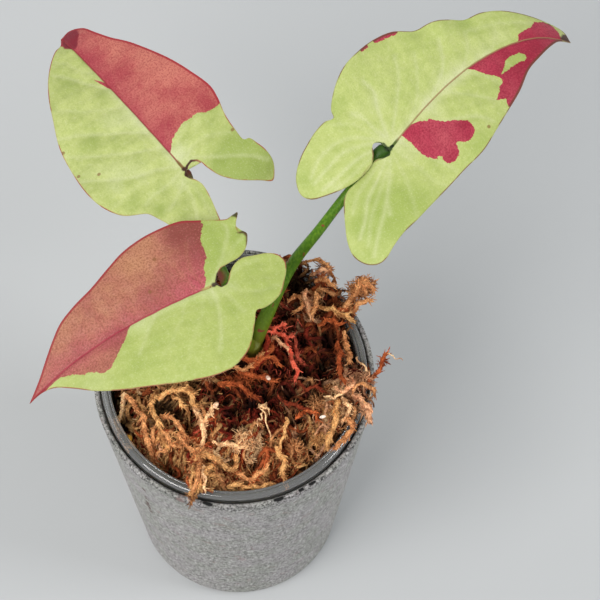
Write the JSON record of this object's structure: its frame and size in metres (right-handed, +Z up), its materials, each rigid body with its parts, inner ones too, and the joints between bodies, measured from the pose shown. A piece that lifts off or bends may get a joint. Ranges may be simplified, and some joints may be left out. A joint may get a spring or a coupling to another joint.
{
  "type": "potted arrowhead plant",
  "caption": "Young arrowhead plant with lime and red variegated leaves, rooted in moss in a clear nursery pot that stands in a grey stone-look pot.",
  "frame": {"origin": "centre of the outer pot's flat foot", "axes": "+Z up along the pots' axis, -Y toward the camera of the picture, +X to its right"},
  "size_m": [0.1327, 0.1256, 0.1425],
  "materials": {
    "stone_look_grey": "matt, finely mottled grey stone look",
    "clear_plastic": "clear, glossy",
    "long_fibred_moss": "dry to damp matted fibre",
    "petiole_green": "satin plant skin",
    "root_cream": "matt",
    "leaf_lime": "satin leaf skin, lime with red patches"
  },
  "bodies": {
    "root": {"outer_pot": "stone_look_grey", "inner_pot": "clear_plastic", "moss": "long_fibred_moss", "stem_and_petioles": "petiole_green", "roots": "root_cream", "leaf_right": "leaf_lime", "leaf_left_back": "leaf_lime", "leaf_left_front": "leaf_lime"}
  },
  "joints": []
}
